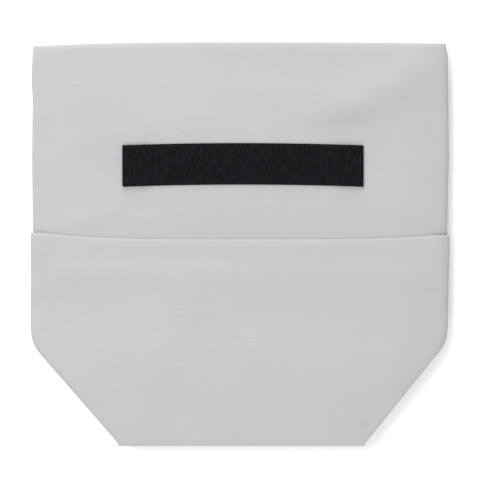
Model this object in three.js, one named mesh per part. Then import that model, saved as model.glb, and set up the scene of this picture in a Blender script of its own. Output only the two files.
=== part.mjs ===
// A soft insulated lunch bag, folded flat and lying on its back wall.
// Millimetres: X runs across the bag, Y from its folded bottom to its mouth, and Z up from the surface.
// Two padded panels meet along the side seams. Lower down a base, folded double, is sewn in between them
// along the cut-off corners and the bottom edge. A slip pocket covers the lower half of the front panel,
// and a webbing strap is sewn to the upper half by its two ends.

import * as THREE from "three";

const { clamp, lerp, smoothstep } = THREE.MathUtils;

// Cloth, padding and webbing
const WALL = 3.2; // outer cloth, foam and inner cloth of a panel
const SEAM_GAP = 0.3; // between pieces that are sewn to each other
const EDGE_ROUND = 8.5; // width over which a padded panel turns down on its way to the seam
const EDGE_SQUARE = 0.34; // 1 turns it through a quarter circle, and less makes the edge squarer
const EDGE_FALL = 0.1; // share of its height that the panel loses just before it turns down

// The seam line seen from above, from the bottom edge to the mouth: reach left and right of the centre line.
const SEAM_LINE = [
  { y: -144.1, left: 86.0, right: 88.2 },
  { y: -140.6, left: 88.2, right: 90.6 },
  { y: -82.5, left: 138.9, right: 137.6 },
  { y: -75.5, left: 145.4, right: 144.0 },
  { y: -68.5, left: 148.6, right: 147.4 },
  { y: -59.0, left: 149.4, right: 148.3 },
  { y: -4.0, left: 149.0, right: 149.2 },
  { y: 12.0, left: 149.2, right: 149.1 },
  { y: 60.0, left: 149.8, right: 150.4 },
  { y: 108.0, left: 149.4, right: 150.0 },
  { y: 117.0, left: 150.2, right: 149.7 },
  { y: 138.5, left: 149.7, right: 149.6 },
  { y: 145.4, left: 148.9, right: 146.8 },
];
const BOTTOM_Y = SEAM_LINE[0].y;
const MOUTH_Y = SEAM_LINE[SEAM_LINE.length - 1].y;
const HALF_WIDTH = 150;

// Mouth of the bag
const MOUTH_DROP = { left: 2.6, right: 0.9 }; // how far the mouth's corners hang below its middle
const MOUTH_DROP_FROM = 60; // the drop fades out this far below the mouth
const MOUTH_DROP_POWER = 3;
const HEM_DEPTH = 29;
const HEM_EXTRA = 0.6; // cloth turned in behind the hem
const HEM_STEP = 0.5; // half the width of the step at the hem's cut edge

// Heights above the surface
const SIDE_SEAM_Z = 5.6;
const UPPER_TOP = 14.4; // front face between the strap and the pocket
const LOWER_TOP = 16.8; // front face over the folded base
const SIDE_FALL = 1.0; // the front sinks this much towards its sides
const SIDE_FALL_POWER = 8;
const MOUTH_FALL = 0.8; // and this much towards the mouth
const BASE_UNDER_FRONT = { full: -98, none: -46 }; // Y where the base lifts the front fully, and not at all
const BASE_IN_SEAM = { full: -92, none: -52 }; // the same along the seam line

// Base, folded double with a slit between its layers
const BASE_WALL = 2.6;
const BASE_SLIT = 1.2;
const BASE_INSET = 1.0; // its cut edges lie this far inside the seam line
const BASE_FOLD_Y = -78;
const BASE_BACK_RIM = 4.6;
const BASE_FRONT_RIM = BASE_BACK_RIM + 2 * (SEAM_GAP + BASE_WALL) + BASE_SLIT;

// Soft mounds and dimples of the front: centre, spread and height
const RELIEF = [
  { x: 2, y: 58, wide: 56, high: 26, rise: 1.6 }, // cloth pushed up under the strap
  { x: -86, y: 48, wide: 22, high: 24, rise: -1.0 }, // drawn in at the strap's left end
  { x: 84, y: 66, wide: 26, high: 22, rise: -1.2 }, // drawn in at the strap's right end
  { x: -60, y: 100, wide: 60, high: 18, rise: 0.6 }, // fullness below the hem
  { x: 4, y: 22, wide: 110, high: 12, rise: -0.5 }, // hollow above the pocket
];

// Pocket
const POCKET_CLOTH = 1.0;
const POCKET_EASE = 0.4; // it lies this far off the front panel
const POCKET_MOUTH_Y = 3.4; // in the middle
const POCKET_MOUTH_RISE = { left: 4.5, right: 2.9 }; // its ends are sewn in higher
const POCKET_MOUTH_POWER = 4; // and rise steeply close to the side seams
const POCKET_PLAIN_Y = -12.6; // plain cloth reaches up to here, then come the rows of the hem
const POCKET_HEM = 10;
const POCKET_HEM_EXTRA = 0.8;
const POCKET_GAPE = 1.1; // the mouth stands off the panel in the middle
const POCKET_GAPE_FROM = -36; // Y where it starts to lift
const POCKET_EDGE_ROWS = [ // below the mouth edge, and the share of the full thickness there
  { below: POCKET_HEM + HEM_STEP, thick: 1 },
  { below: POCKET_HEM - HEM_STEP, thick: 1 },
  { below: 4.5, thick: 1 },
  { below: 0.9, thick: 1 },
  { below: 0.25, thick: 0.8 },
  { below: 0, thick: 0.4 },
];

// Strap
const WEBBING = 1.1;
const STRAP_LENGTH = 173.5;
const STRAP_WIDTH = 30;
const STRAP_CENTRE = { x: 2.1, y: 55.8 };
const STRAP_BOW = 1.5; // its middle lies this much nearer the mouth than its ends
const STRAP_SEWN = 20; // length turned under and sewn down at each end
const STRAP_TURN = 2; // half the length over which the doubled end starts
const STRAP_STATIONS = 28;

// Grids
const EDGE_STEPS = 4;
const FRONT_COLUMNS = 18;
const BACK_COLUMNS = 8;
const BASE_COLUMNS = 10;
const ROW_STEP = 11;
const BACK_ROW_STEP = 33;
const MOUTH_ROWS = [ // below the mouth edge, and the share of the full thickness there
  { below: 6.9, thick: 1 },
  { below: 2.4, thick: 1 },
  { below: 0.9, thick: 0.85 },
  { below: 0, thick: 0.45 },
];
const SLANT_STEP = 4;

// Finishes
const cloth = (name) =>
  new THREE.MeshStandardMaterial({ name, color: 0xcbcbcc, roughness: 0.88, metalness: 0 });
const webbing = () =>
  new THREE.MeshStandardMaterial({ name: "black webbing", color: 0x1c1d21, roughness: 0.7, metalness: 0 });

// The turn at a panel's edge, from 0 at the seam to 1 where the panel is flat: the share of the edge's width
// that lies between the seam and this place, and the share of its height.
const turnIn = (turn) => 1 - Math.cos((turn * Math.PI) / 2) ** EDGE_SQUARE;
const turnUp = (turn) =>
  Math.sin((turn * Math.PI) / 2) ** EDGE_SQUARE * (1 - EDGE_FALL * (1 - turnIn(turn)));

// A share that is 1 at range.full and 0 at range.none, with a smooth change between.
const fade = (y, range) => 1 - smoothstep(y, range.full, range.none);

// Distance of the seam line from the centre line, on the left (side -1) or the right (side 1).
function seamReach(y, side) {
  const name = side < 0 ? "left" : "right";
  const last = SEAM_LINE.length - 1;
  const next = SEAM_LINE.findIndex((row, index) => index > 0 && (row.y >= y || index === last));
  const lower = SEAM_LINE[next - 1];
  const upper = SEAM_LINE[next];
  const share = clamp((y - lower.y) / (upper.y - lower.y), 0, 1);
  return lerp(lower[name], upper[name], share);
}

// Change of reach for one millimetre square to the seam line: 1 on the sides, more along the cut corners.
function seamSlant(y, side) {
  const rise = 2 * SLANT_STEP;
  const run = seamReach(y + SLANT_STEP, side) - seamReach(y - SLANT_STEP, side);
  return Math.hypot(rise, run) / rise;
}

// Columns across a panel: a rounded edge on each side (turn 0 at the seam, 1 where it ends), flat between.
function columnsAcross(flatCount) {
  const columns = [];
  for (let step = 0; step < EDGE_STEPS; step++) {
    columns.push({ side: -1, share: 1, turn: step / EDGE_STEPS });
  }
  for (let step = 0; step <= flatCount; step++) {
    const place = (2 * step) / flatCount - 1;
    columns.push({ side: Math.sign(place) || 1, share: Math.abs(place), turn: 1 });
  }
  for (let step = EDGE_STEPS - 1; step >= 0; step--) {
    columns.push({ side: 1, share: 1, turn: step / EDGE_STEPS });
  }
  return columns;
}

// X of a column on a face that lies `outside` millimetres outside the panel's outer face.
function columnX(column, y, outside) {
  const inset = (EDGE_ROUND + outside) * turnIn(column.turn);
  const edge = seamReach(y, column.side) + (outside - inset) * seamSlant(y, column.side);
  return column.side * column.share * edge;
}

// Y of a row: the first rows turn round the bottom edge, and the rows near the mouth follow its bow.
function rowY(row, column, outside) {
  if (row.turn < 1) {
    return BOTTOM_Y - outside + (EDGE_ROUND + outside) * turnIn(row.turn);
  }
  const drop = column.side < 0 ? MOUTH_DROP.left : MOUTH_DROP.right;
  const near = smoothstep(row.y, MOUTH_Y - MOUTH_DROP_FROM, MOUTH_Y);
  return row.y - drop * near * column.share ** MOUTH_DROP_POWER;
}

// Height of the front panel's outer face.
function frontTop(x, y) {
  let top = lerp(UPPER_TOP, LOWER_TOP, fade(y, BASE_UNDER_FRONT));
  top -= SIDE_FALL * Math.abs(x / HALF_WIDTH) ** SIDE_FALL_POWER;
  top -= MOUTH_FALL * smoothstep(y, MOUTH_Y - MOUTH_DROP_FROM, MOUTH_Y);
  for (const form of RELIEF) {
    top += form.rise * Math.exp(-(((x - form.x) / form.wide) ** 2) - ((y - form.y) / form.high) ** 2);
  }
  return top;
}

const frontRim = (y) => lerp(SIDE_SEAM_Z + SEAM_GAP / 2, BASE_FRONT_RIM, fade(y, BASE_IN_SEAM));
const backRim = (y) => lerp(SIDE_SEAM_Z - SEAM_GAP / 2, BASE_BACK_RIM, fade(y, BASE_IN_SEAM));

// A point over the front panel, `outside` millimetres outside its outer face.
function frontPoint(column, row, outside) {
  const y = rowY(row, column, outside);
  const x = columnX(column, y, outside);
  const rise = turnUp(column.turn) * turnUp(row.turn);
  return [x, y, lerp(frontRim(y), frontTop(x, y) + outside, rise)];
}

// The same for the back panel, which lies flat on the surface.
function backPoint(column, row, outside) {
  const y = rowY(row, column, outside);
  const x = columnX(column, y, outside);
  const rise = turnUp(column.turn) * turnUp(row.turn);
  return [x, y, lerp(backRim(y), -outside, rise)];
}

// Rows from the bottom edge up: those that turn round it, then the bends of the seam line and even steps.
function rowsUp(step, lastY) {
  const levels = [BOTTOM_Y + EDGE_ROUND];
  for (const bend of SEAM_LINE) {
    if (bend.y > BOTTOM_Y + EDGE_ROUND && bend.y <= lastY) {
      levels.push(bend.y);
    }
  }
  for (let y = BOTTOM_Y + EDGE_ROUND; y <= lastY; y += step) {
    if (levels.every((level) => Math.abs(level - y) > step / 3)) {
      levels.push(y);
    }
  }
  levels.sort((a, b) => a - b);
  const rows = [];
  for (let turn = 0; turn < EDGE_STEPS; turn++) {
    rows.push({ y: BOTTOM_Y, turn: turn / EDGE_STEPS, thick: 1, hem: 0 });
  }
  for (const y of levels) {
    rows.push({ y, turn: 1, thick: 1, hem: 0 });
  }
  return rows;
}

// Rows of a whole panel, up to the hem and its rounded edge at the mouth.
function panelRows(step) {
  const hemY = MOUTH_Y - HEM_DEPTH;
  const rows = rowsUp(step, hemY - 2 * HEM_STEP);
  rows.push({ y: hemY - HEM_STEP, turn: 1, thick: 1, hem: 0 });
  for (const y of [hemY + HEM_STEP, hemY + HEM_DEPTH / 2]) {
    rows.push({ y, turn: 1, thick: 1, hem: HEM_EXTRA });
  }
  for (const { below, thick } of MOUTH_ROWS) {
    rows.push({ y: MOUTH_Y - below, turn: 1, thick, hem: HEM_EXTRA });
  }
  return rows;
}

// A closed body between an upper and a lower face that share one grid of columns and rows.
function sheetSolid(columns, rows, upperPoint, lowerPoint) {
  const count = { across: columns.length, up: rows.length };
  const positions = [];
  for (const point of [upperPoint, lowerPoint]) {
    for (const row of rows) {
      for (const column of columns) {
        positions.push(...point(column, row));
      }
    }
  }
  const upper = (column, row) => row * count.across + column;
  const lower = (column, row) => count.across * count.up + upper(column, row);
  const indices = [];
  const quad = (a, b, c, d) => indices.push(a, b, c, a, c, d);
  for (let row = 0; row < count.up - 1; row++) {
    for (let column = 0; column < count.across - 1; column++) {
      quad(upper(column, row), upper(column + 1, row), upper(column + 1, row + 1), upper(column, row + 1));
      quad(lower(column, row), lower(column, row + 1), lower(column + 1, row + 1), lower(column + 1, row));
    }
  }
  const right = count.across - 1;
  const last = count.up - 1;
  for (let column = 0; column < right; column++) {
    quad(lower(column, 0), lower(column + 1, 0), upper(column + 1, 0), upper(column, 0));
    quad(lower(column + 1, last), lower(column, last), upper(column, last), upper(column + 1, last));
  }
  for (let row = 0; row < last; row++) {
    quad(lower(right, row), lower(right, row + 1), upper(right, row + 1), upper(right, row));
    quad(lower(0, row + 1), lower(0, row), upper(0, row), upper(0, row + 1));
  }
  const geometry = new THREE.BufferGeometry();
  geometry.setAttribute("position", new THREE.Float32BufferAttribute(positions, 3));
  geometry.setIndex(indices);
  geometry.computeVertexNormals();
  return geometry;
}

// Outer and inner face of a panel: the wall thins to a round edge at the mouth.
function wallFaces(row) {
  const wall = WALL + row.hem;
  return { outer: lerp(-wall / 2, 0, row.thick), inner: lerp(-wall / 2, -wall, row.thick) };
}

function frontPanel() {
  const columns = columnsAcross(FRONT_COLUMNS);
  const outer = (column, row) => frontPoint(column, row, wallFaces(row).outer);
  const inner = (column, row) => frontPoint(column, row, wallFaces(row).inner);
  return sheetSolid(columns, panelRows(ROW_STEP), outer, inner);
}

function backPanel() {
  const columns = columnsAcross(BACK_COLUMNS);
  const outer = (column, row) => backPoint(column, row, wallFaces(row).outer);
  const inner = (column, row) => backPoint(column, row, wallFaces(row).inner);
  return sheetSolid(columns, panelRows(BACK_ROW_STEP), inner, outer);
}

// The base: its lower layer runs up to the fold, and its upper layer comes back down over it.
function bottomGusset() {
  const columns = columnsAcross(BASE_COLUMNS).filter((column) => column.turn === 1);
  const levels = [BOTTOM_Y + BASE_INSET];
  for (const row of rowsUp(ROW_STEP, BASE_FOLD_Y - ROW_STEP / 3)) {
    if (row.turn === 1) {
      levels.push(row.y);
    }
  }
  const rows = levels.map((y) => ({ y, angle: -Math.PI / 2 }));
  for (let step = 0; step <= 2 * EDGE_STEPS; step++) {
    rows.push({ y: BASE_FOLD_Y, angle: (step / EDGE_STEPS - 1) * (Math.PI / 2) });
  }
  rows.push(...levels.reverse().map((y) => ({ y, angle: Math.PI / 2 })));
  const point = (column, row, depth) => {
    const layer = (frontRim(row.y) - backRim(row.y) - BASE_SLIT) / 2 - SEAM_GAP;
    const middle = (frontRim(row.y) + backRim(row.y)) / 2;
    const reach = BASE_SLIT / 2 + depth * layer;
    const y = row.y + reach * Math.cos(row.angle);
    const edge = seamReach(y, column.side) - BASE_INSET * seamSlant(y, column.side);
    return [column.side * column.share * edge, y, middle + reach * Math.sin(row.angle)];
  };
  const slitFace = (column, row) => point(column, row, 0);
  const bagFace = (column, row) => point(column, row, 1);
  return sheetSolid(columns, rows, slitFace, bagFace);
}

// The pocket wraps round the front panel's edges into the seam, and its hemmed mouth sags in the middle.
function frontPocket() {
  const columns = columnsAcross(FRONT_COLUMNS);
  const rows = rowsUp(ROW_STEP, POCKET_PLAIN_Y);
  for (const { below, thick } of POCKET_EDGE_ROWS) {
    rows.push({ below, turn: 1, thick, hem: below < POCKET_HEM ? POCKET_HEM_EXTRA : 0 });
  }
  const point = (column, row, depth) => {
    const flat = turnUp(column.turn);
    const bow = column.share ** POCKET_MOUTH_POWER;
    const rise = column.side < 0 ? POCKET_MOUTH_RISE.left : POCKET_MOUTH_RISE.right;
    const mouth = POCKET_MOUTH_Y + rise * bow;
    const y = row.below === undefined ? row.y : mouth - row.below;
    const gape = POCKET_GAPE * (1 - bow) * smoothstep(y, POCKET_GAPE_FROM, POCKET_MOUTH_Y);
    const lift = POCKET_HEM_EXTRA * flat * smoothstep(y, POCKET_GAPE_FROM, mouth - POCKET_HEM);
    const cloth = POCKET_CLOTH + row.hem * flat;
    const outer = POCKET_EASE + gape + lift + POCKET_CLOTH;
    const outside = outer - cloth * lerp(0.5, 1 - depth, row.thick);
    return frontPoint(column, { y, turn: row.turn }, outside);
  };
  const outer = (column, row) => point(column, row, 1);
  const inner = (column, row) => point(column, row, 0);
  return sheetSolid(columns, rows, outer, inner);
}

// The strap: doubled at its sewn ends, and lying loose on the cloth between them.
function carryStrap() {
  const half = STRAP_LENGTH / 2;
  const free = half - STRAP_SEWN;
  const columns = [];
  for (let station = 0; station <= STRAP_STATIONS; station++) {
    columns.push(lerp(-half, half, station / STRAP_STATIONS));
  }
  const rows = [-0.5, 0, 0.5];
  const point = (along, across, upper) => {
    const x = STRAP_CENTRE.x + along;
    const middleY = STRAP_CENTRE.y + STRAP_BOW * (1 - (along / half) ** 2);
    const under = rows.map((row) => frontTop(x, middleY + row * STRAP_WIDTH));
    const lowest = Math.max(...under) + SEAM_GAP;
    const doubled = smoothstep(Math.abs(along), free - STRAP_TURN, free + STRAP_TURN);
    return [x, middleY + across * STRAP_WIDTH, lowest + upper * WEBBING * (1 + doubled)];
  };
  const upperFace = (along, across) => point(along, across, 1);
  const lowerFace = (along, across) => point(along, across, 0);
  return sheetSolid(columns, rows, upperFace, lowerFace);
}

const bag = new THREE.Group();

function addPiece(name, geometry, material) {
  const piece = new THREE.Mesh(geometry, material);
  piece.name = name;
  bag.add(piece);
}

addPiece("front_panel", frontPanel(), cloth("front cloth"));
addPiece("back_panel", backPanel(), cloth("back cloth"));
addPiece("bottom_gusset", bottomGusset(), cloth("base cloth"));
addPiece("front_pocket", frontPocket(), cloth("pocket cloth"));
addPiece("carry_strap", carryStrap(), webbing());

export default bag;
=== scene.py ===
# %% [markdown]
# # A cooler bag, folded flat
# The bag lies on its back. Two padded walls are sewn together along the sides, a base that is folded
# double is sewn in between them at the bottom, a slip pocket covers the lower half of the front, and a
# webbing strap is sewn across the upper half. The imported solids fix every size, so the first step is to
# load them.

# %% Load the frame
import math
from functools import lru_cache

import bmesh
import bpy
import numpy
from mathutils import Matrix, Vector, noise
from mathutils.bvhtree import BVHTree


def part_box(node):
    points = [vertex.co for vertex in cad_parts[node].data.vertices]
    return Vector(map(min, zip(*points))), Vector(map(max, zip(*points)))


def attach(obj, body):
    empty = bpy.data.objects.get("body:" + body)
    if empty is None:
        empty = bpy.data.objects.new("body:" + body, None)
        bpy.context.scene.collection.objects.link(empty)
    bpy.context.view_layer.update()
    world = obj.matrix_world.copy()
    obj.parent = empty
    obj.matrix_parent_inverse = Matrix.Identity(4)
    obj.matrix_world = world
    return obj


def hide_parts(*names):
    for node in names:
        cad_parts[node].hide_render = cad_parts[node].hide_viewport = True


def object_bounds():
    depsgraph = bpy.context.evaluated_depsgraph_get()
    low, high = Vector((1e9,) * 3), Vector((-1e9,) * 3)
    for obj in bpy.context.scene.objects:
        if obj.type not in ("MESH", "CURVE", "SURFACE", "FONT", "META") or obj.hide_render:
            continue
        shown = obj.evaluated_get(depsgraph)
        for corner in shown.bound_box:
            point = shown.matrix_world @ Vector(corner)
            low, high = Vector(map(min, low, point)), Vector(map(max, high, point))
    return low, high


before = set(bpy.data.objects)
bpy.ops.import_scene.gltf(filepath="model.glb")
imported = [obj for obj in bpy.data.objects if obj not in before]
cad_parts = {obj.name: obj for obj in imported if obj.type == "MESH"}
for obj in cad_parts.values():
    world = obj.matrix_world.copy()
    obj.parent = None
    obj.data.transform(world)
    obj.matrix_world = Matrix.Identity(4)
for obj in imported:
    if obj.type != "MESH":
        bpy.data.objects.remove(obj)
cad_low, cad_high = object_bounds()
MM = 0.001
UP = Vector((0, 0, 1))
DOWN = Vector((0, 0, -1))


def in_mm(lengths):
    """Lengths in millimetres, rounded for printing."""
    return [round(length / MM, 1) for length in lengths]


print("Nodes:", ", ".join(sorted(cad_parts)))
print("Size in mm:", in_mm(cad_high - cad_low))

# %% [markdown]
# ## The camera
# The picture was taken from straight above with a long lens. The camera could be moved by eye until the
# bag fits, but the bag's own edges in the picture give the scale at once: its width in pixels stands for
# the width of the solids, and the rest follows from that.

# %% Camera straight above the bag
PHOTO_SIDE_PX = 492
BAG_LEFT_PX, BAG_RIGHT_PX = 30.7, 449.4
BAG_TOP_PX, BAG_BOTTOM_PX = 41.7, 445.7
CAMERA_HEIGHT = 1.9
OUTLINE_HEIGHT = 9 * MM  # the bag is widest about here
metres_per_px = (cad_high.x - cad_low.x) / (BAG_RIGHT_PX - BAG_LEFT_PX)
aim_x = (PHOTO_SIDE_PX - BAG_LEFT_PX - BAG_RIGHT_PX) / 2 * metres_per_px
aim_y = (BAG_TOP_PX + BAG_BOTTOM_PX - PHOTO_SIDE_PX) / 2 * metres_per_px
camera_data = bpy.data.cameras.new("camera_above")
picture_width = PHOTO_SIDE_PX * metres_per_px
camera_data.lens = camera_data.sensor_width * (CAMERA_HEIGHT - OUTLINE_HEIGHT) / picture_width
camera = bpy.data.objects.new("camera_above", camera_data)
camera.location = (aim_x, aim_y, CAMERA_HEIGHT)
bpy.context.scene.collection.objects.link(camera)
bpy.context.scene.camera = camera
print(f"One pixel is {metres_per_px / MM:.3f} mm, lens {camera_data.lens:.0f} mm")

# %% [markdown]
# ## Reading a pattern off the solids
# A tailor copies a finished bag by feeling for its edges. Rays do the same here: a ray that travels up or
# down finds the height of a solid, and halving the distance again and again finds its edge. The sizes
# could be typed in a second time instead, but then two lists would have to be kept in step.

# %% Rays on the solids
RAY_START = 1.0
WIDEST_SEARCH = 0.4
HALVINGS = 18


def tree_of(bm):
    """A search tree over a bmesh, which is freed."""
    tree = BVHTree.FromBMesh(bm)
    bm.free()
    return tree


def solid_tree(node):
    """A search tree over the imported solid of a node."""
    bm = bmesh.new()
    bm.from_mesh(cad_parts[node].data)
    return tree_of(bm)


def height(tree, x, y, travel):
    """Height of the first face that a ray travelling up or down meets, or None beside the solid."""
    hit = tree.ray_cast(Vector((x, y, -RAY_START * travel.z)), travel)[0]
    return None if hit is None else hit.z


def distance_to_edge(tree, x, y, step_x, step_y):
    """How far the solid reaches from a place on it in a level direction."""
    inside, outside = 0.0, WIDEST_SEARCH
    for _ in range(HALVINGS):
        middle = (inside + outside) / 2
        if height(tree, x + step_x * middle, y + step_y * middle, DOWN) is None:
            outside = middle
        else:
            inside = middle
    return inside


def smooth_step(value, start, end):
    """0 before start, 1 after end, with a soft change between."""
    share = min(max((value - start) / (end - start), 0.0), 1.0)
    return share * share * (3 - 2 * share)


print("Front panel top in the middle, mm:", round(height(solid_tree("front_panel"), 0, 0, DOWN) / MM, 2))

# %% [markdown]
# ## How a sewn wall lies
# Each wall is a flat cut of cloth and foam. Over most of the bag it lies flat, and near a seam it turns
# down over a squarish edge to meet the wall on the other side. A bevel could round that edge, but it
# would stretch the cloth and its weave. A superellipse gives the squarish turn, and its length is walked
# in small steps, so that the cloth keeps its length on the way round.

# %% The turned edge
EDGE_ROUND = 8.5 * MM
EDGE_DROP = 8 * MM
EDGE_SQUARE = 0.32  # 1 would be a quarter circle, and less is squarer
EDGE_SAMPLES = 60


def turned_edge(radius):
    """Shares of the edge's width and height on the way round it, and the cloth used up to there."""
    angles = numpy.linspace(0, math.pi / 2, EDGE_SAMPLES)
    out = numpy.sin(angles) ** EDGE_SQUARE
    rise = numpy.cos(angles).clip(0) ** EDGE_SQUARE
    steps = numpy.hypot(numpy.diff(out) * radius, numpy.diff(rise) * EDGE_DROP)
    travel = numpy.concatenate([[0.0], numpy.cumsum(steps)])
    return out, rise, travel


print(f"A turned edge takes up {turned_edge(EDGE_ROUND)[2][-1] / MM:.1f} mm of cloth")

# %% [markdown]
# A place on the cut is given by u, from seam to seam, and v, from the bottom edge to the mouth. The class
# below turns u and v into a place in space, and gives the place on the flat cut too, which later carries
# the weave. Loose functions would do as well, but three pieces of the bag lie in this way, each on its
# own solid, and a class keeps each one's solid and sizes together.

# %% A wall's pattern, read from its solid
WALL = 3.2 * MM
MOUTH_FADE = 60 * MM  # the slope of the mouth fades out this far below it
SLANT_STEP = 4 * MM
CORNER = 4 * MM
RIM_MARGIN = 0.1 * MM
FLAT_MARGIN = 1 * MM
MOUTH_MARGIN = 3.5 * MM
MOUTH_REACH = 0.97
EDGE_FALL = {-1: 0.04, 1: 0.2}  # share of the height lost on the way to the left and the right edge
TIP_FALL = 0.08  # share of the height lost on the way to the bottom edge
SEAM_CLOSE = 0.2 * MM
LEVEL_DIGITS = 5  # places are rounded to this, so that an answer found once is found again
FOLD_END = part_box("bottom_gusset")[1].y
CORNER_BEFORE, CORNER_AFTER = 9 * MM, 1 * MM
CORNER_PULL = 14 * MM


class SewnWall:
    """Where a wall of the bag lies, from rays on its solid. It faces up, or down if it lies on the floor."""

    def __init__(self, node, radius, thickness, facing, fade):
        self.tree = solid_tree(node)
        self.low, self.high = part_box(node)
        self.radius = radius
        self.thickness = thickness
        self.facing = facing
        self.fade = fade
        self.edge_out, self.edge_rise, self.edge_travel = turned_edge(radius)
        self.arc = float(self.edge_travel[-1])
        self.cut_length = self.arc + self.high.y - self.low.y - radius
        self.reach = lru_cache(None)(self.find_reach)
        self.seam_height = lru_cache(None)(self.find_seam_height)

    def find_reach(self, y, side):
        """Distance from the centre line to the seam line."""
        level = min(max(y, self.low.y + RIM_MARGIN), self.high.y - CORNER)
        return distance_to_edge(self.tree, 0, level, side, 0)

    def half_cut(self):
        """Half the width of the flat cut, across the middle of the bag."""
        return self.reach(0.0, 1) - self.radius + self.arc

    def slant(self, y, side):
        """Change of reach for a step square to the seam line: 1 on the sides, more along the cut corners."""
        run = self.reach(y + SLANT_STEP, side) - self.reach(y - SLANT_STEP, side)
        return math.hypot(2 * SLANT_STEP, run) / (2 * SLANT_STEP)

    def find_seam_height(self, y, side):
        """Height of the wall's rim at the seam line, which closes round the end of the folded base."""
        y += CORNER_PULL * smooth_step(y, FOLD_END - CORNER_BEFORE, FOLD_END + CORNER_AFTER)
        level = min(max(y, self.low.y + self.thickness / 2), self.high.y - CORNER)
        x = self.reach(level, side) - self.thickness / 2 * self.slant(level, side)
        return height(self.tree, side * x, level, self.facing) - self.facing.z * SEAM_CLOSE

    def mouth(self, x):
        """Height up the bag of the mouth edge."""
        widest = MOUTH_REACH * self.reach(self.high.y - CORNER, 1 if x > 0 else -1)
        x = min(max(x, -widest), widest)
        return self.low.y + self.radius + distance_to_edge(self.tree, x, self.low.y + self.radius, 0, 1)

    def face_height(self, x, y, flat):
        """Height of the wall's outer face, taken where it is flat."""
        x = min(max(x, FLAT_MARGIN - flat), flat - FLAT_MARGIN)
        y = min(max(y, self.low.y + self.radius + FLAT_MARGIN), self.mouth(x) - MOUTH_MARGIN)
        return height(self.tree, x, y, -self.facing)

    def turn(self, travel):
        """Shares of the edge's width and height, this far along the cloth from where the wall is flat."""
        out = numpy.interp(travel, self.edge_travel, self.edge_out)
        rise = numpy.interp(travel, self.edge_travel, self.edge_rise)
        return float(out), float(rise)

    def place(self, u, v):
        """The point at u (-1 to 1) and v (0 to 1), its place on the cut, and its share of the height."""
        along = v * self.cut_length
        tip_out, tip_rise = self.turn(self.arc - along)
        y = self.low.y + self.radius * (1 - tip_out) + max(0.0, along - self.arc)
        side = 1 if u >= 0 else -1
        slant = self.slant(y, side)
        flat = self.reach(y, side) - self.radius * slant
        across = abs(u) * (flat + self.arc)
        side_out, side_rise = self.turn(across - flat)
        x = side * (min(across, flat) + self.radius * slant * side_out)
        y += (self.mouth(x) - self.high.y) * smooth_step(y, self.high.y - self.fade, self.high.y)
        seam = self.seam_height(round(y, LEVEL_DIGITS), side)
        rise = side_rise * (1 - EDGE_FALL[side] * side_out) * tip_rise * (1 - TIP_FALL * tip_out)
        z = seam + (self.face_height(x, y, flat) - seam) * rise
        return Vector((x, y, z)), (side * across, along), rise


front = SewnWall("front_panel", EDGE_ROUND, WALL, UP, MOUTH_FADE)
back = SewnWall("back_panel", EDGE_ROUND, WALL, DOWN, MOUTH_FADE)
print("Front cut, mm:", in_mm((2 * front.half_cut(), front.cut_length)))
print("Back cut, mm:", in_mm((2 * back.half_cut(), back.cut_length)))

# %% [markdown]
# ## Laying out the cloth
# A grid is the natural start for woven cloth: its rows and columns follow the threads. It could be fine
# all over, but most of the bag is nearly flat. So a coarse grid gets extra rows and columns, cut in with
# bisect planes, only where the cloth turns over an edge and where a stitch line will run. Then every
# corner of the grid is moved onto the wall. The solids have flat facets, so the heights are smoothed a
# little afterwards, as cloth would do by itself.

# %% Lay a grid on a wall
SMOOTHING_PASSES = 12
SMOOTHING = 0.5
FLAT_RISE = 0.985
STITCH_VALLEY = 1.0 * MM
ON_PLANE = 1e-6  # what is nearer to a plane than this counts as on it
EDGE_CUTS = [place * MM for place in (3.0, 5.0, 6.0, 6.8, 7.6, 8.4, 9.4, 11.0)]
MOUTH_CUTS = [place * MM for place in (1.0, 2.0, 3.0)]


def cut_grid(bm, axis, places):
    """Cuts a row (axis 1) or a column (axis 0) into a grid at each place from -1 to 1."""
    for place in places:
        point = Vector()
        point[axis] = place
        normal = Vector()
        normal[axis] = 1
        everything = [*bm.verts, *bm.edges, *bm.faces]
        bmesh.ops.bisect_plane(bm, geom=everything, dist=ON_PLANE, plane_co=point, plane_no=normal)


def cloth_grid(wall, step, stitch_line):
    """A bmesh grid laid on the wall, with closer rows at its edges and at a stitch line below the mouth."""
    half_width = wall.half_cut()
    bm = bmesh.new()
    columns, rows = round(2 * half_width / step), round(wall.cut_length / step)
    bmesh.ops.create_grid(bm, x_segments=columns, y_segments=rows, size=1.0)
    for side in (-1, 1):
        cut_grid(bm, 0, [side * (1 - place / half_width) for place in EDGE_CUTS])
    cut_grid(bm, 1, [2 * place / wall.cut_length - 1 for place in EDGE_CUTS])
    stitch_rows = [stitch_line - STITCH_VALLEY, stitch_line, stitch_line + STITCH_VALLEY]
    cut_grid(bm, 1, [1 - 2 * place / wall.cut_length for place in MOUTH_CUTS + stitch_rows])
    laid = {vert: wall.place(vert.co.x, (vert.co.y + 1) / 2) for vert in bm.verts}
    flat = []
    for vert, (point, _, rise) in laid.items():
        vert.co = point
        if rise > FLAT_RISE and not vert.is_boundary:
            flat.append(vert)
    for _ in range(SMOOTHING_PASSES):
        bmesh.ops.smooth_vert(bm, verts=flat, factor=SMOOTHING, use_axis_z=True)
    cut_map = bm.loops.layers.uv.new("cut")
    for face in bm.faces:
        for loop in face.loops:
            loop[cut_map].uv = laid[loop.vert][1]
    return bm


print("Extra cuts in a grid:", len(EDGE_CUTS), "at each edge,", len(MOUTH_CUTS), "at the mouth")

# %% [markdown]
# A laid grid has no thickness yet. Extruding it by hand would fix the thickness for good, while a
# Solidify modifier can be thinner where a vertex group says so, which the hems need. One Subdivision
# Surface level then softens what is left of the grid.

# %% Objects and their thickness
SUBDIVISIONS = 1


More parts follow.
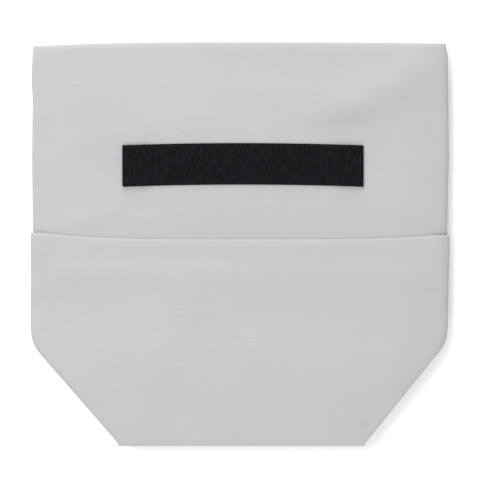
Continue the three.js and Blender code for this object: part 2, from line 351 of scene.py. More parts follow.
def new_object(name, bm):
    """Turns a bmesh into an object with smooth shading."""
    mesh = bpy.data.meshes.new(name)
    bm.to_mesh(mesh)
    bm.free()
    mesh.shade_smooth()
    made = bpy.data.objects.new(name, mesh)
    bpy.context.scene.collection.objects.link(made)
    return made


def give_thickness(piece, thickness, offset, weights):
    """A Solidify wall, thinner where the weights say so, then a soft subdivision."""
    group = piece.vertex_groups.new(name="thickness")
    for index, weight in enumerate(weights):
        group.add([index], weight, "REPLACE")
    wall = piece.modifiers.new("wall", "SOLIDIFY")
    wall.thickness = thickness
    wall.offset = offset
    wall.vertex_group = group.name
    wall.use_even_offset = True
    soft = piece.modifiers.new("soft", "SUBSURF")
    soft.levels = SUBDIVISIONS
    soft.render_levels = SUBDIVISIONS


def report(piece):
    """Prints what a finished piece measures."""
    shown = piece.evaluated_get(bpy.context.evaluated_depsgraph_get())
    mesh = shown.to_mesh()
    triangles = sum(len(face.vertices) - 2 for face in mesh.polygons)
    shown.to_mesh_clear()
    print(f"{piece.name}: {triangles} triangles, {in_mm(shown.dimensions)} mm")


print("Subdivisions of each piece:", SUBDIVISIONS)

# %% [markdown]
# ## The front wall
# Outer cloth, foam and inner cloth are one thick layer with a hem turned in along the mouth. Where the
# strap is sewn on it draws the cloth into a few soft folds, and the pocket's mouth presses a shallow
# groove. Sculpting them by hand could not be repeated, so each is a row in a table: a low ridge or valley
# that fades out along its length and to both sides.

# %% Front wall with its soft folds
PANEL_STEP = 4.2 * MM
HEM_DEPTH = 29 * MM
FRONT_FOLDS = [
    {"x": 104, "y": 112, "angle": 27, "long": 58, "wide": 15, "rise": 2.0},
    {"x": 76, "y": 84, "angle": 6, "long": 24, "wide": 7, "rise": -1.3},
    {"x": -42, "y": 79, "angle": 2, "long": 58, "wide": 20, "rise": 1.6},
    {"x": 93, "y": 56, "angle": 90, "long": 20, "wide": 14, "rise": -1.0},
    {"x": -112, "y": 16, "angle": 24, "long": 18, "wide": 6, "rise": 0.6},
    {"x": 122, "y": 22, "angle": 158, "long": 22, "wide": 8, "rise": 0.6},
    {"x": 24, "y": 25, "angle": 3, "long": 70, "wide": 9, "rise": 0.5},
    {"x": 0, "y": 5, "angle": 0, "long": 170, "wide": 7, "rise": -0.6},
]


def raise_folds(piece, folds):
    """Lifts a laid cloth into low ridges. Places and sizes are in millimetres, angles in degrees."""
    for vert in piece.data.vertices:
        for fold in folds:
            offset = Vector((vert.co.x / MM - fold["x"], vert.co.y / MM - fold["y"]))
            turn = math.radians(fold["angle"])
            along = offset.x * math.cos(turn) + offset.y * math.sin(turn)
            across = offset.y * math.cos(turn) - offset.x * math.sin(turn)
            share = math.exp(-((along / fold["long"]) ** 2) - (across / fold["wide"]) ** 2)
            vert.co.z += fold["rise"] * MM * share


front_wall = new_object("front_wall", cloth_grid(front, PANEL_STEP, HEM_DEPTH))
raise_folds(front_wall, FRONT_FOLDS)
print(f"Front wall with {len(front_wall.data.vertices)} points and {len(FRONT_FOLDS)} folds")

# %% [markdown]
# The thread of a seam gathers the cloth beside it into small uneven waves. Noise gives them, with a share
# that is nothing on the seam itself, so that the walls still meet there, and nothing again further in.

# %% Puckers along the seams
PUCKER = 0.5 * MM
PUCKER_LENGTH = 11 * MM
PUCKER_REACH = 17 * MM
PUCKER_CLOSE = 0.6  # below 1, the waves are highest nearer to the seam


def from_seam(wall, point):
    """Distance from a point of a wall to its nearest side or bottom seam."""
    side = 1 if point.x > 0 else -1
    level = round(point.y, LEVEL_DIGITS)
    return min((wall.reach(level, side) - abs(point.x)) / wall.slant(level, side), point.y - wall.low.y)


def pucker_seams(piece, wall):
    """Raises and sinks the cloth near its seams, and prints how many points moved."""
    moved = 0
    for vert in piece.data.vertices:
        away = from_seam(wall, vert.co) / PUCKER_REACH
        if 0 < away < 1:
            wave = noise.noise(vert.co / PUCKER_LENGTH)
            vert.co.z += PUCKER * wave * math.sin(math.pi * away**PUCKER_CLOSE)
            moved += 1
    print(f"{moved} points of {piece.name} are puckered")


pucker_seams(front_wall, front)

# %% [markdown]
# The seams, the strap and the pocket hold the cloth, while between them it is a little too large for its
# place, and the foam pushes it up into soft swells. More noise would look like noise, so Blender's Cloth
# finds the swells. The held points are pinned, the cloth is let out by a fraction of a percent, a light
# pressure stands for the foam, and the rise is scaled down to a cap, so that the wall stays in its space
# and keeps the shape of its swells.

# %% Let the front cloth settle
SETTLE_FRAMES = 20
CLOTH_EASE = 0.0025
FOAM_PRESSURE = 0.4
SWELL_CAP = 1.2 * MM
HELD_EDGE = 12 * MM
CLOTH_SETTINGS = {
    "quality": 6,
    "mass": 0.3,
    "tension_stiffness": 40,
    "compression_stiffness": 40,
    "shear_stiffness": 20,
    "bending_stiffness": 40,
}
strap_low, strap_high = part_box("carry_strap")
pocket_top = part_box("front_pocket")[1].y


def settle(piece, is_held):
    """Runs Cloth on a piece whose held points are pinned, and keeps the rise, scaled to its cap."""
    scene = bpy.context.scene
    start = [vert.co.copy() for vert in piece.data.vertices]
    pinned = [index for index, point in enumerate(start) if is_held(point)]
    sewn = piece.vertex_groups.new(name="sewn")
    sewn.add(pinned, 1.0, "REPLACE")
    cloth = piece.modifiers.new("settle", "CLOTH")
    for name, value in CLOTH_SETTINGS.items():
        setattr(cloth.settings, name, value)
    cloth.settings.vertex_group_mass = sewn.name
    cloth.settings.shrink_min = -CLOTH_EASE
    cloth.settings.use_pressure = True
    cloth.settings.uniform_pressure_force = FOAM_PRESSURE
    cloth.settings.effector_weights.gravity = 0
    cloth.point_cache.frame_end = SETTLE_FRAMES
    for moment in range(1, SETTLE_FRAMES + 1):
        scene.frame_set(moment)
    settled = piece.evaluated_get(bpy.context.evaluated_depsgraph_get())
    moves = [vert.co - begin for vert, begin in zip(settled.data.vertices, start)]
    piece.modifiers.remove(cloth)
    piece.vertex_groups.remove(sewn)
    scene.frame_set(1)
    lift = max(abs(move.z) for move in moves)
    share = min(1.0, SWELL_CAP / lift)
    for vert, begin, move in zip(piece.data.vertices, start, moves):
        vert.co = begin
        vert.co.z += move.z * share
    print(f"{piece.name}: {len(pinned)} points held, rise {lift / MM:.2f} mm, {share:.2f} of it kept")


def held_in_front(point):
    """True where the strap, the pocket or a seam holds the front wall."""
    under_strap = strap_low.x < point.x < strap_high.x and strap_low.y < point.y < strap_high.y
    return under_strap or point.y < pocket_top or from_seam(front, point) < HELD_EDGE


settle(front_wall, held_in_front)

# %% [markdown]
# The hem is the mouth's edge turned in and sewn down: the wall is thicker there, the stitch line presses
# a faint valley into the cloth, and the edge itself rolls over. A second piece of cloth behind the wall
# could stand for the hem, but a weight on the Solidify modifier does it with no seam to hide. All of it
# is found on the flat cut, where the hem is simply everything above one line.

# %% Hem and thickness of the front wall
HEM_WALL = 3.8 * MM
HEM_VALLEY = 0.04 * MM
HEM_ROLL = 5 * MM
ROLL_STEEPNESS = 0.26
ON_STITCH_LINE = 0.1 * MM


def cut_places(piece):
    """Place on the flat cut of every point of a piece."""
    places = [None] * len(piece.data.vertices)
    cut_map = piece.data.uv_layers["cut"].data
    for loop in piece.data.loops:
        places[loop.vertex_index] = cut_map[loop.index].uv.copy()
    return places


def hem(piece, wall, depth, valley, roll, plain, full):
    """Presses in the stitch line, rolls the edge over and gives each point's share of the thickness."""
    shares = []
    for vert, place in zip(piece.data.vertices, cut_places(piece)):
        to_edge = wall.cut_length - place.y
        if abs(to_edge - depth) < ON_STITCH_LINE:
            vert.co.z -= valley * wall.facing.z
        drop = ROLL_STEEPNESS * roll * max(0.0, 1 - to_edge / roll) ** 2
        vert.co.z -= drop * wall.facing.z
        thickness = full if to_edge < depth else plain
        shares.append((thickness - drop) / full)
    return shares


front_shares = hem(front_wall, front, HEM_DEPTH, HEM_VALLEY, HEM_ROLL, WALL, HEM_WALL)
give_thickness(front_wall, HEM_WALL, -1, front_shares)
report(front_wall)

# %% [markdown]
# ## The back wall
# The same cut again, facing down. It lies on the floor, so only its rims and the inside of its hem show,
# and a coarser grid is enough. A mirrored copy of the front would bring the front's folds with it, so it
# is laid on its own solid instead. A grid faces up, so its faces are turned over first.

# %% Back wall
BACK_STEP = 7 * MM
back_cloth = cloth_grid(back, BACK_STEP, HEM_DEPTH)
bmesh.ops.reverse_faces(back_cloth, faces=back_cloth.faces)
back_wall = new_object("back_wall", back_cloth)
back_shares = hem(back_wall, back, HEM_DEPTH, HEM_VALLEY, HEM_ROLL, WALL, HEM_WALL)
give_thickness(back_wall, HEM_WALL, -1, back_shares)
report(back_wall)

# %% [markdown]
# ## The folded base
# When the bag is filled, the base opens into a flat bottom. Folded, it is one strip of padded cloth bent
# into a hairpin between the walls: up along the back wall, round the fold, and down again along the front
# wall. Two flat layers would look the same from the front, but from the side the fold shows. So one grid
# is bent along that path, and Solidify makes it as thick as the layers of the solid.

# %% Base
BASE_SLIT = 1.2 * MM
BASE_STEP = 3.5 * MM
FOLD_MARGIN = 3 * MM
base_tree = solid_tree("bottom_gusset")
base_low, base_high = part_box("bottom_gusset")


def base_layers(y):
    """Middle height of the folded base and the thickness of one layer."""
    y = min(max(y, base_low.y + FLAT_MARGIN), base_high.y - FOLD_MARGIN)
    low = height(base_tree, 0, y, UP)
    high = height(base_tree, 0, y, DOWN)
    return (low + high) / 2, (high - low - BASE_SLIT) / 2


def hairpin(travel, run, radius):
    """Place along a hairpin from where its fold starts, and its side of the fold, from -1 to 1."""
    bend = (travel - run) / radius
    if bend < 0:
        return travel - run, -1.0
    if bend > math.pi:
        return math.pi * radius + run - travel, 1.0
    return radius * math.sin(bend), -math.cos(bend)


widest_layer = base_layers(base_low.y)[1]
fold_layer = base_layers(base_high.y)[1]
fold_radius = (BASE_SLIT + fold_layer) / 2
base_run = base_high.y - base_low.y - fold_radius - fold_layer / 2
base_path = 2 * base_run + math.pi * fold_radius
base_columns = round((base_high.x - base_low.x) / BASE_STEP)
base_rows = 2 * round(base_path / BASE_STEP)
base_bm = bmesh.new()
bmesh.ops.create_grid(base_bm, x_segments=base_columns, y_segments=base_rows, size=1.0)
base_cut = base_bm.loops.layers.uv.new("cut")
base_shares = []
for vert in base_bm.verts:
    travel = (vert.co.y + 1) / 2 * base_path
    forward, side_of_fold = hairpin(travel, base_run, fold_radius)
    y = base_low.y + base_run + forward
    middle, layer = base_layers(y)
    level = min(max(y, base_low.y + RIM_MARGIN), base_high.y - RIM_MARGIN)
    side = 1 if vert.co.x >= 0 else -1
    reach = distance_to_edge(base_tree, 0, level, side, 0)
    for loop in vert.link_loops:
        loop[base_cut].uv = (vert.co.x * base_high.x, travel)
    vert.co = (vert.co.x * reach, y, middle + side_of_fold * (BASE_SLIT + layer) / 2)
    base_shares.append(layer / widest_layer)
base_fold = new_object("base_fold", base_bm)
give_thickness(base_fold, widest_layer, 0, base_shares)
report(base_fold)

# %% [markdown]
# ## The pocket
# A thin sheet over the lower half of the front. Its sides and bottom go into the same seams as the walls,
# and its mouth is hemmed, so the cloth is double there and the edge is a soft fold that catches the
# light. It is laid out in the same way as the walls. A simulation could drop the mouth onto the front
# wall, but rays that find the finished wall do it in one step: between the side seams the mouth comes to
# lie on it, as limp cloth does.

# %% Pocket
POCKET_CLOTH = 1.0 * MM
POCKET_HEM_CLOTH = 1.3 * MM
POCKET_HEM = 10 * MM
POCKET_ROUND = EDGE_ROUND + 1.4 * MM
POCKET_FADE = 24 * MM
POCKET_VALLEY = 0.04 * MM
POCKET_SEAT = 0.1 * MM
POCKET_EASE = 6 * MM
POCKET_ROLL = 3 * MM
POCKET_FOLDS = [
    {"x": 118, "y": -60, "angle": 74, "long": 36, "wide": 11, "rise": 1.0},
    {"x": 96, "y": -124, "angle": 48, "long": 30, "wide": 7, "rise": -0.9},
    {"x": -126, "y": -14, "angle": 150, "long": 16, "wide": 6, "rise": 0.4},
    {"x": 40, "y": -40, "angle": 172, "long": 70, "wide": 16, "rise": 0.5},
    {"x": -60, "y": -70, "angle": 76, "long": 60, "wide": 20, "rise": 0.8},
]


def surface_tree(piece):
    """A search tree over a finished piece, with its modifiers."""
    bm = bmesh.new()
    bm.from_object(piece, bpy.context.evaluated_depsgraph_get())
    return tree_of(bm)


def held_in_pocket(point):
    """True where the hem or a seam holds the pocket."""
    return point.y > -POCKET_HEM or from_seam(pocket, point) < HELD_EDGE


front_tree = surface_tree(front_wall)
pocket = SewnWall("front_pocket", POCKET_ROUND, POCKET_CLOTH, UP, POCKET_FADE)
pocket_sheet = new_object("pocket_sheet", cloth_grid(pocket, PANEL_STEP, POCKET_HEM))
raise_folds(pocket_sheet, POCKET_FOLDS)
pucker_seams(pocket_sheet, pocket)
for vert in pocket_sheet.data.vertices:
    from_side = pocket.reach(0.0, 1) - POCKET_ROUND - abs(vert.co.x)
    lean = smooth_step(vert.co.y, -POCKET_FADE, -POCKET_HEM) * smooth_step(from_side, 0.0, POCKET_EASE)
    if lean > 0:
        rest = height(front_tree, vert.co.x, vert.co.y, DOWN) + POCKET_SEAT + POCKET_HEM_CLOTH
        vert.co.z += (rest - vert.co.z) * lean
settle(pocket_sheet, held_in_pocket)
hem_cloth = (POCKET_CLOTH, POCKET_HEM_CLOTH)
pocket_shares = hem(pocket_sheet, pocket, POCKET_HEM, POCKET_VALLEY, POCKET_ROLL, *hem_cloth)
give_thickness(pocket_sheet, POCKET_HEM_CLOTH, -1, pocket_shares)
report(pocket_sheet)

# %% [markdown]
# ## The strap
# Webbing is a woven ribbon with ribs across it. Its ends are turned under before they are sewn down, so
# the ribbon's path is a long run with a hairpin at each end. A flat box would miss the ribs and the
# doubled ends. So a grid follows the path and is laid on the finished front wall with rays, because the
# limp webbing lies on the cloth. The ribs are small waves square to the path, and Solidify gives the
# webbing its thickness.

# %% Strap
WEBBING = 0.75 * MM
SEAT = 0.06 * MM
RIB_PITCH = 1.6 * MM
RIB_HEIGHT = 0.08 * MM
RIB_STEPS = 4
STRAP_ROWS = 12
TUCK = 17 * MM
TUCK_RAMP = 5 * MM
STRAP_MARGIN = 0.2 * MM
strap_tree = solid_tree("carry_strap")
strap_middle = (strap_low.x + strap_high.x) / 2


def strap_span(x):
    """Lower and upper edge of the strap at a place along it."""
    x = min(max(x, strap_low.x + STRAP_MARGIN), strap_high.x - STRAP_MARGIN)
    inside = (strap_low.y + strap_high.y) / 2
    lower = inside - distance_to_edge(strap_tree, x, inside, 0, -1)
    upper = inside + distance_to_edge(strap_tree, x, inside, 0, 1)
    return lower, upper


tuck_radius = (WEBBING + SEAT) / 2
half_run = (strap_high.x - strap_low.x) / 2 - tuck_radius - WEBBING / 2
strap_path = 2 * (half_run + math.pi * tuck_radius + TUCK)
strap_columns = round(strap_path / RIB_PITCH) * RIB_STEPS
strap_bm = bmesh.new()
bmesh.ops.create_grid(strap_bm, x_segments=strap_columns, y_segments=STRAP_ROWS, size=1.0)
strap_cut = strap_bm.loops.layers.uv.new("cut")
for vert in strap_bm.verts:
    travel = vert.co.x * strap_path / 2
    side = 1 if travel >= 0 else -1
    bend = min(max(0.0, abs(travel) - half_run) / tuck_radius, math.pi)
    tucked = max(0.0, abs(travel) - half_run - math.pi * tuck_radius)
    x = strap_middle + side * (min(abs(travel), half_run) + tuck_radius * math.sin(bend) - tucked)
    lower, upper = strap_span(x)
    y = (lower + upper) / 2 + vert.co.y * (upper - lower) / 2
    for loop in vert.link_loops:
        loop[strap_cut].uv = (travel, vert.co.y * (upper - lower) / 2)
    doubled = smooth_step(abs(travel), half_run - TUCK - TUCK_RAMP, half_run - TUCK)
    layers = doubled * (1 + math.cos(bend)) / 2
    rib = RIB_HEIGHT * math.cos(2 * math.pi * travel / RIB_PITCH) * math.cos(bend)
    seat = height(front_tree, x, y, DOWN) + SEAT + WEBBING / 2
    vert.co = (x, y, seat + 2 * tuck_radius * layers + rib)
strap_webbing = new_object("strap_webbing", strap_bm)
give_thickness(strap_webbing, WEBBING, 0, [1.0] * len(strap_webbing.data.vertices))
report(strap_webbing)

# %% [markdown]
# ## Stitches
# Each stitch is a short piece of thread whose ends dive into the cloth. A bump in the material would
# vanish from the side, so each is a small sphere pulled out into a capsule. A row of them is copied along
# every line, and each copy is set on the finished surface with a ray.

# %% One stitch, and rows of them
STITCH_LENGTH = 2.5 * MM
STITCH_PITCH = 3.2 * MM
STITCH_SUNK = 0.34 * MM
STITCH_SIDES, STITCH_RINGS = 8, 6
THREAD = 0.4 * MM


def add_stitch(bm, start, end):
    """One capsule of thread between two points."""
    sides = {"u_segments": STITCH_SIDES, "v_segments": STITCH_RINGS}
    ball = bmesh.ops.create_uvsphere(bm, radius=THREAD / 2, **sides)["verts"]
    along = end - start
    half = along.length / 2 - THREAD / 2
    for vert in ball:
        if abs(vert.co.z) > ON_PLANE:
            vert.co.z += math.copysign(half, vert.co.z)
    turn = along.to_track_quat("Z", "Y").to_matrix()
    bmesh.ops.rotate(bm, verts=ball, cent=(0, 0, 0), matrix=turn)
    bmesh.ops.translate(bm, verts=ball, vec=(start + end) / 2)


def stitch_row(bm, tree, start, end):
    """Stitches along a straight line in plan, each set on the surface below it. Gives their number."""
    count = max(1, round((end - start).length / STITCH_PITCH))
    made = 0
    for index in range(count):
        points = []
        for share in (-0.5, 0.5):
            place = start.lerp(end, (index + 0.5 + share * STITCH_LENGTH / STITCH_PITCH) / count)
            level = height(tree, place.x, place.y, DOWN)
            if level is not None:
                points.append(Vector((place.x, place.y, level + (THREAD / 2 - STITCH_SUNK))))
        if len(points) == 2:
            add_stitch(bm, *points)
            made += 1
    return made


def stitched(name, tree, lines):
    """An object of stitches along lines, each through several points."""
    bm = bmesh.new()
    made = 0
    for line in lines:
        for start, end in zip(line, line[1:]):
            made += stitch_row(bm, tree, start, end)
    print(f"{name}: {made} stitches")
    return new_object(name, bm)


print(f"A stitch is {STITCH_LENGTH / MM:.1f} mm long, and they lie {STITCH_PITCH / MM:.1f} mm apart")

# %% Stitches in the hems
HEM_PARTS = 12
HEM_INSET = 0.02


def line_across(wall, depth):
    """Points of a stitch line that runs across a wall, a given depth below its mouth."""
    v = 1 - depth / wall.cut_length
    points = []
    for part in range(HEM_PARTS + 1):
        u = (1 - HEM_INSET) * (2 * part / HEM_PARTS - 1)
        point = wall.place(u, v)[0]
        points.append(Vector((point.x, point.y, 0)))
    return points


mouth_stitches = stitched("mouth_stitches", front_tree, [line_across(front, HEM_DEPTH)])
pocket_tree = surface_tree(pocket_sheet)
pocket_stitches = stitched("pocket_stitches", pocket_tree, [line_across(pocket, POCKET_HEM)])

# %% [markdown]
# Each end of the strap is sewn down with a box of stitches, the usual way to fasten webbing that carries
# a load. The same rows serve: a box is one line that comes back to its first corner.

# %% Box stitches on the strap
BOX_INSET = 2.6 * MM
BOX_LENGTH = 17 * MM
boxes = []
for end_x, inward in ((strap_low.x, 1), (strap_high.x, -1)):
    near = end_x + inward * BOX_INSET
    far = near + inward * BOX_LENGTH
    lower, upper = strap_span((near + far) / 2)
    boxes.append([
        Vector((near, lower + BOX_INSET, 0)),
        Vector((far, lower + BOX_INSET, 0)),
        Vector((far, upper - BOX_INSET, 0)),
        Vector((near, upper - BOX_INSET, 0)),
        Vector((near, lower + BOX_INSET, 0)),
    ])
strap_stitches = stitched("strap_stitches", surface_tree(strap_webbing), boxes)

# %% [markdown]
# ## The cloth's finish
# The cloth is a light grey plain weave whose cross threads are uneven, which gives faint streaks across
# the bag. A picture of cloth would blur close up, so the weave is worked out by nodes. One node group
# holds it, so that every cloth piece has the same threads: it reads the place on the flat cut from the UV
# map, and gives a tone and a height. A few small helpers keep the node code short.

# %% Helpers for nodes
NOISE_MIDDLE = 0.5


def new_node(tree, kind, **settings):
    """A node with some of its properties set."""
    made = tree.nodes.new(kind)
    for name, value in settings.items():
        setattr(made, name, value)
    return made


def arithmetic(tree, operation, first, second=0.0):
    """A Math node on one or two sockets or numbers."""
    made = new_node(tree, "ShaderNodeMath", operation=operation)
    for socket, value in zip(made.inputs, (first, second)):
        if isinstance(value, (int, float)):
            socket.default_value = value
        else:
            tree.links.new(value, socket)
    return made.outputs[0]


def ramp(tree, value, start, full):
    """A Map Range node from 0 at start to 1 at full."""
    made = new_node(tree, "ShaderNodeMapRange")
    made.inputs["From Min"].default_value = start
    made.inputs["From Max"].default_value = full
    tree.links.new(value, made.inputs["Value"])
    return made.outputs[0]


def streaks(tree, vector, size, detail):
    """Noise around 0 whose spots have the given size in metres along the cut's two directions."""
    mapping = new_node(tree, "ShaderNodeMapping")
    mapping.inputs["Scale"].default_value = (1 / size[0], 1 / size[1], 1)
    tree.links.new(vector, mapping.inputs["Vector"])
    uneven_noise = new_node(tree, "ShaderNodeTexNoise")
    uneven_noise.inputs["Scale"].default_value = 1.0
    uneven_noise.inputs["Detail"].default_value = detail
    tree.links.new(mapping.outputs["Vector"], uneven_noise.inputs["Vector"])
    return arithmetic(tree, "SUBTRACT", uneven_noise.outputs[0], NOISE_MIDDLE)


def woven_group(name, inputs):
    """A new node group that reads the cut and gives a tone and a height, with its entry and its exit."""
    tree = bpy.data.node_groups.new(name, "ShaderNodeTree")
    tree.interface.new_socket("Cut", in_out="INPUT", socket_type="NodeSocketVector")
    for title in inputs:
        tree.interface.new_socket(title, in_out="INPUT", socket_type="NodeSocketFloat")
    tree.interface.new_socket("Tone", in_out="OUTPUT", socket_type="NodeSocketFloat")
    tree.interface.new_socket("Height", in_out="OUTPUT", socket_type="NodeSocketFloat")
    print("New node group:", name)
    return tree, new_node(tree, "NodeGroupInput"), new_node(tree, "NodeGroupOutput")


# %% Weave node group
SLUB_SIZE = (12 * MM, 1.9 * MM)
SLUB_FROM, SLUB_FULL = 0.18, 0.25
DARK_SLUB = 0.5
STREAK_SIZE = (16 * MM, 0.7 * MM)
CLOUD_SIZE = (45 * MM, 30 * MM)
THREAD_PITCH = 0.62 * MM
THREAD_RISE, SLUB_RISE = 0.3, 0.6
weave, entry, leave = woven_group("uneven plain weave", ["Slub", "Streak", "Cloud"])
cut = entry.outputs["Cut"]
uneven = streaks(weave, cut, SLUB_SIZE, detail=1.0)
light_slub = ramp(weave, uneven, SLUB_FROM, SLUB_FULL)
dark_slub = arithmetic(weave, "MULTIPLY", ramp(weave, uneven, -SLUB_FROM, -SLUB_FULL), DARK_SLUB)
slub = arithmetic(weave, "SUBTRACT", light_slub, dark_slub)
streak = streaks(weave, cut, STREAK_SIZE, detail=0.0)
cloud = streaks(weave, cut, CLOUD_SIZE, detail=2.0)
parts = new_node(weave, "ShaderNodeSeparateXYZ")
weave.links.new(cut, parts.inputs[0])
waves = []
for axis in ("X", "Y"):
    phase = arithmetic(weave, "MULTIPLY", parts.outputs[axis], math.pi / THREAD_PITCH)
    waves.append(arithmetic(weave, "SINE", phase))
crossing = arithmetic(weave, "MULTIPLY", *waves)
slub_tone = arithmetic(weave, "MULTIPLY", slub, entry.outputs["Slub"])
streak_tone = arithmetic(weave, "MULTIPLY", streak, entry.outputs["Streak"])
cloud_tone = arithmetic(weave, "MULTIPLY", cloud, entry.outputs["Cloud"])
thread_tone = arithmetic(weave, "ADD", slub_tone, streak_tone)
tone = arithmetic(weave, "ADD", arithmetic(weave, "ADD", thread_tone, cloud_tone), 1.0)
thread_height = arithmetic(weave, "MULTIPLY", crossing, THREAD_RISE)
slub_height = arithmetic(weave, "MULTIPLY", slub, SLUB_RISE)
raised = arithmetic(weave, "ADD", thread_height, slub_height)
weave.links.new(tone, leave.inputs["Tone"])
weave.links.new(raised, leave.inputs["Height"])
print("Weave group with", len(weave.nodes), "nodes")

# %% [markdown]
# Webbing is woven tighter, with a rib at every thick cross thread, fine threads that run slanting over
# the ribs, and a smoother selvedge close to each long edge. The ribs are in the mesh already, and their
# tone has to follow them, so it gets a group of its own, with the same two outputs.

# %% Webbing node group
FINE_THREAD = 1.1 * MM
FINE_SHARE = 0.4
FLECK_SIZE = (1.4 * MM, 6 * MM)
SELVEDGE_AT, SELVEDGE_HALF = 13.4 * MM, 0.4 * MM
SELVEDGE_TONE = 0.3
DARKEST_TONE = 0.1
ribbed, entry, leave = woven_group("ribbed webbing", ["Rib", "Fleck"])
cut = entry.outputs["Cut"]
parts = new_node(ribbed, "ShaderNodeSeparateXYZ")
ribbed.links.new(cut, parts.inputs[0])
rib_phase = arithmetic(ribbed, "MULTIPLY", parts.outputs["X"], 2 * math.pi / RIB_PITCH)
rib_wave = arithmetic(ribbed, "COSINE", rib_phase)
slanted = arithmetic(ribbed, "MULTIPLY", parts.outputs["Y"], 2 * math.pi / FINE_THREAD)
fine_wave = arithmetic(ribbed, "SINE", arithmetic(ribbed, "ADD", slanted, rib_wave))
fine = arithmetic(ribbed, "MULTIPLY", fine_wave, FINE_SHARE)
fleck = streaks(ribbed, cut, FLECK_SIZE, detail=2.0)
selvedge = new_node(ribbed, "ShaderNodeMath", operation="COMPARE")
ribbed.links.new(arithmetic(ribbed, "ABSOLUTE", parts.outputs["Y"]), selvedge.inputs[0])
selvedge.inputs[1].default_value = SELVEDGE_AT
selvedge.inputs[2].default_value = SELVEDGE_HALF
pattern = arithmetic(ribbed, "ADD", fine, rib_wave)
rib_tone = arithmetic(ribbed, "MULTIPLY", pattern, entry.outputs["Rib"])
fleck_tone = arithmetic(ribbed, "MULTIPLY", fleck, entry.outputs["Fleck"])
edge_tone = arithmetic(ribbed, "MULTIPLY", selvedge.outputs[0], SELVEDGE_TONE)
mixed = arithmetic(ribbed, "ADD", arithmetic(ribbed, "ADD", rib_tone, fleck_tone), edge_tone)
tone = arithmetic(ribbed, "MAXIMUM", arithmetic(ribbed, "ADD", mixed, 1.0), DARKEST_TONE)
raised = arithmetic(ribbed, "ADD", fine, fleck)
ribbed.links.new(tone, leave.inputs["Tone"])
ribbed.links.new(raised, leave.inputs["Height"])
print("Webbing group with", len(ribbed.nodes), "nodes")

# %% [markdown]
# Each material holds its own Principled shader. A group could hold the shader too, but the export looks
# for it in the material itself. So a group only gives what changes over the surface, and the roughness
# and the gloss are plain values on the shader.

# %% How a finish is made
MOTTLE_SIZE = (0.4 * MM, 0.4 * MM)


def new_finish(name, roughness, gloss):
    """A new material with its node tree and its shader."""
    material = bpy.data.materials.new(name)
    material.use_nodes = True
    shader = material.node_tree.nodes["Principled BSDF"]
    shader.inputs["Roughness"].default_value = roughness
    shader.inputs["Specular IOR Level"].default_value = gloss
    print("New finish:", name)
    return material, material.node_tree, shader


def tint(tree, shader, colour, tone):
    """Gives the shader a colour that is scaled by a tone."""
    shade = new_node(tree, "ShaderNodeVectorMath", operation="SCALE")
    shade.inputs[0].default_value = colour
    tree.links.new(tone, shade.inputs["Scale"])
    tree.links.new(shade.outputs[0], shader.inputs["Base Color"])


def woven_finish(name, colour, group_tree, amounts, relief, roughness, gloss):
    """A material whose tone and relief come from a woven group."""
    material, tree, shader = new_finish(name, roughness, gloss)
    cut_map = new_node(tree, "ShaderNodeUVMap", uv_map="cut")
    group = new_node(tree, "ShaderNodeGroup", node_tree=group_tree)
    for title, amount in amounts.items():
        group.inputs[title].default_value = amount
    tree.links.new(cut_map.outputs["UV"], group.inputs["Cut"])
    tint(tree, shader, colour, group.outputs["Tone"])
    bump = new_node(tree, "ShaderNodeBump")
    bump.inputs["Distance"].default_value = relief
    tree.links.new(group.outputs["Height"], bump.inputs["Height"])
    tree.links.new(bump.outputs["Normal"], shader.inputs["Normal"])
    return material


def thread_finish(name, colour, roughness, gloss):
    """Twisted thread: a plain colour with fine mottling."""
    material, tree, shader = new_finish(name, roughness, gloss)
    place = new_node(tree, "ShaderNodeTexCoord")
    mottle = streaks(tree, place.outputs["Object"], MOTTLE_SIZE, detail=1.0)
    tint(tree, shader, colour, arithmetic(tree, "ADD", mottle, 1.0))
    return material


# %% Cloth, webbing and thread
CLOTH_GREY = (0.372, 0.372, 0.375)
# The pocket takes the wall cloth again, painted a touch darker and cooler: painted shade on the lower half
# of the bag.
POCKET_SHADED_GREY = (0.37, 0.369, 0.377)
WEBBING_BLACK = (0.0062, 0.0067, 0.0081)
THREAD_GREY = (0.37, 0.37, 0.375)
CLOTH = {
    "group_tree": weave,
    "amounts": {"Slub": 0.07, "Streak": 0.04, "Cloud": 0.04},
    "relief": 0.08 * MM,
    "roughness": 0.85,
    "gloss": 0.1,
}
RIBBED_WEBBING = {
    "group_tree": ribbed,
    "amounts": {"Rib": 0.42, "Fleck": 2.6},
    "relief": 0.12 * MM,
    "roughness": 0.6,
    "gloss": 0.02,
}
TWISTED_THREAD = {"roughness": 0.6, "gloss": 0.08}
panel_finish = woven_finish("light grey cloth", CLOTH_GREY, **CLOTH)
shaded_pocket_finish = woven_finish("pocket cloth", POCKET_SHADED_GREY, **CLOTH)
webbing_finish = woven_finish("black webbing", WEBBING_BLACK, **RIBBED_WEBBING)
grey_thread = thread_finish("grey thread", THREAD_GREY, **TWISTED_THREAD)
black_thread = thread_finish("black thread", WEBBING_BLACK, **TWISTED_THREAD)
for piece, finish in (
    (front_wall, panel_finish),
    (back_wall, panel_finish),
    (base_fold, panel_finish),
    (pocket_sheet, shaded_pocket_finish),
    (strap_webbing, webbing_finish),
    (mouth_stitches, grey_thread),
    (pocket_stitches, grey_thread),
    (strap_stitches, black_thread),
):
    piece.data.materials.append(finish)
    print(f"{piece.name} has the finish {finish.name}")

# %% [markdown]
# ## Floor and light
# The bag was photographed on white, under a broad soft light from the upper left: the right and lower
# edges have narrow soft shadows and the other two have none. The floor is exposed to pure white, so only
# the deepest part of a shadow shows on it.

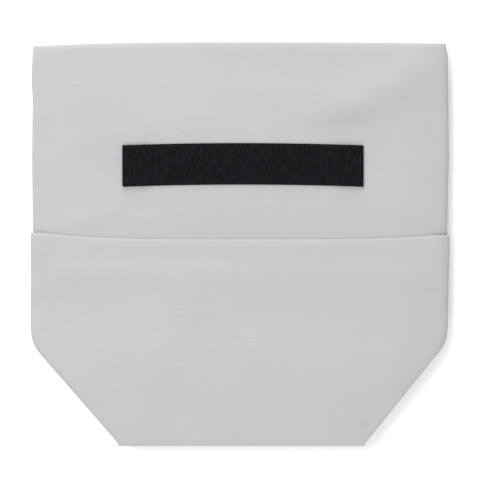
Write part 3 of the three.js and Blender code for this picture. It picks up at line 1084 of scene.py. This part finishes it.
# %% Floor
FLOOR_SIDE = 6.0
FLOOR_DROP = 0.2 * MM
FLOOR_WHITE = (0.96, 0.96, 0.96, 1)
FLOOR_ROUGHNESS, FLOOR_GLOSS = 0.8, 0.5
floor_bm = bmesh.new()
bmesh.ops.create_grid(floor_bm, x_segments=1, y_segments=1, size=FLOOR_SIDE / 2)
bmesh.ops.translate(floor_bm, verts=floor_bm.verts, vec=(0, 0, -FLOOR_DROP))
floor = new_object("floor", floor_bm)
floor_finish, _, floor_shader = new_finish("white floor", FLOOR_ROUGHNESS, FLOOR_GLOSS)
floor_shader.inputs["Base Color"].default_value = FLOOR_WHITE
floor.data.materials.append(floor_finish)
print("Floor", FLOOR_SIDE, "m wide")

# %% [markdown]
# One large lamp alone would leave the hems flat. So the softbox at the upper left gives the shadows, a
# low rim light beyond the mouth draws a bright line along the hems, as in the picture, two weak fills
# lift the shadows on the near and right sides, and a bright surround does the rest.

# %% Lights and surround
LIGHTS = [
    {"name": "softbox", "place": (-0.85, 0.4, 1.5), "side": 1.1, "watts": 17.2},
    {"name": "rim_light", "place": (-0.4, 2.1, 0.65), "side": 1.2, "watts": 56},
    {"name": "lower_fill", "place": (0.1, -1.6, 0.85), "side": 1.4, "watts": 20},
    {"name": "right_fill", "place": (1.45, -0.95, 0.8), "side": 1.4, "watts": 7.5},
]
SURROUND_WHITE = (1, 1, 1, 1)
SURROUND_STRENGTH = 0.56


def soft_light(name, place, side, watts):
    """A square light that faces the bag."""
    data = bpy.data.lights.new(name, "AREA")
    data.size = side
    data.energy = watts
    lamp = bpy.data.objects.new(name, data)
    lamp.location = place
    lamp.rotation_euler = (-Vector(place)).to_track_quat("-Z", "Y").to_euler()
    bpy.context.scene.collection.objects.link(lamp)


for light in LIGHTS:
    soft_light(**light)
world = bpy.data.worlds.new("studio")
world.use_nodes = True
surround = world.node_tree.nodes["Background"]
surround.inputs["Color"].default_value = SURROUND_WHITE
surround.inputs["Strength"].default_value = SURROUND_STRENGTH
bpy.context.scene.world = world
bpy.context.scene.view_settings.view_transform = "Standard"
print("Lights:", ", ".join(light["name"] for light in LIGHTS))

# %% [markdown]
# ## What each piece is
# Every piece rides on the one body of the bag, and the five large ones stand for their solids. The walls
# and the base are padded. The pocket and the strap are sheets that were cut flat: the pocket's area is
# measured from the cut itself, because its lower corners are cut off, and the strap is a straight length
# of webbing.

# %% Bodies and solids
for piece, node, slot in (
    (front_wall, "front_panel", "panel_cloth"),
    (back_wall, "back_panel", "panel_cloth"),
    (base_fold, "bottom_gusset", "panel_cloth"),
    (pocket_sheet, "front_pocket", "pocket_cloth"),
    (strap_webbing, "carry_strap", "webbing"),
    (mouth_stitches, None, "panel_cloth"),
    (pocket_stitches, None, "pocket_cloth"),
    (strap_stitches, None, "webbing"),
):
    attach(piece, "root")
    if node:
        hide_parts(node)
    print(f"{piece.name} stands for {node or 'no solid'}")


def cut_area(piece):
    """Area of a sheet's flat cut, from its UV map."""
    cut_map = piece.data.uv_layers["cut"].data
    total = 0.0
    for face in piece.data.polygons:
        corners = [cut_map[index].uv for index in face.loop_indices]
        for first, second in zip(corners, corners[1:] + corners[:1]):
            total += first.cross(second) / 2
    return abs(total)


pocket_cut = (2 * pocket.half_cut(), pocket.cut_length)
strap_lower, strap_upper = strap_span(strap_middle)
print("Pocket cut, mm:", in_mm(pocket_cut), f"with {cut_area(pocket_sheet):.4f} square metres")
